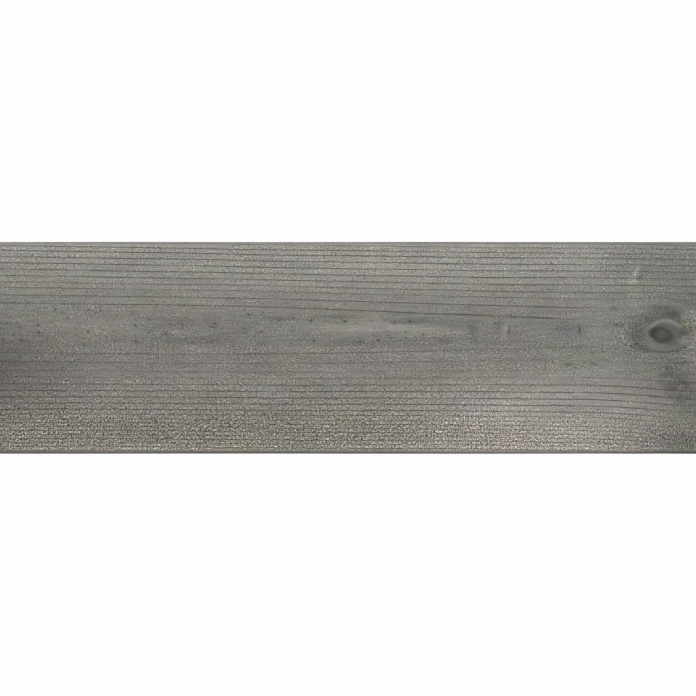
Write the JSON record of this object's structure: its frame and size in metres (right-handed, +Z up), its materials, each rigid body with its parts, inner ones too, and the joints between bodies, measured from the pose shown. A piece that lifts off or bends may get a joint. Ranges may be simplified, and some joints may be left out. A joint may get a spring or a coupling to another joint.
{
  "type": "decking board",
  "caption": "Flat planed softwood plank, grey stained, with rounded long arrises and square-sawn ends, laid across joists as a walking surface.",
  "frame": {"origin": "middle of the underside, which lies on the joists", "axes": "+X along the board, +Y across its face, +Z up through its thickness and out of the walking face"},
  "size_m": [1.8, 0.145, 0.028],
  "materials": {
    "grey_softwood": "matte"
  },
  "bodies": {
    "root": {"decking_board": "grey_softwood"}
  },
  "joints": []
}
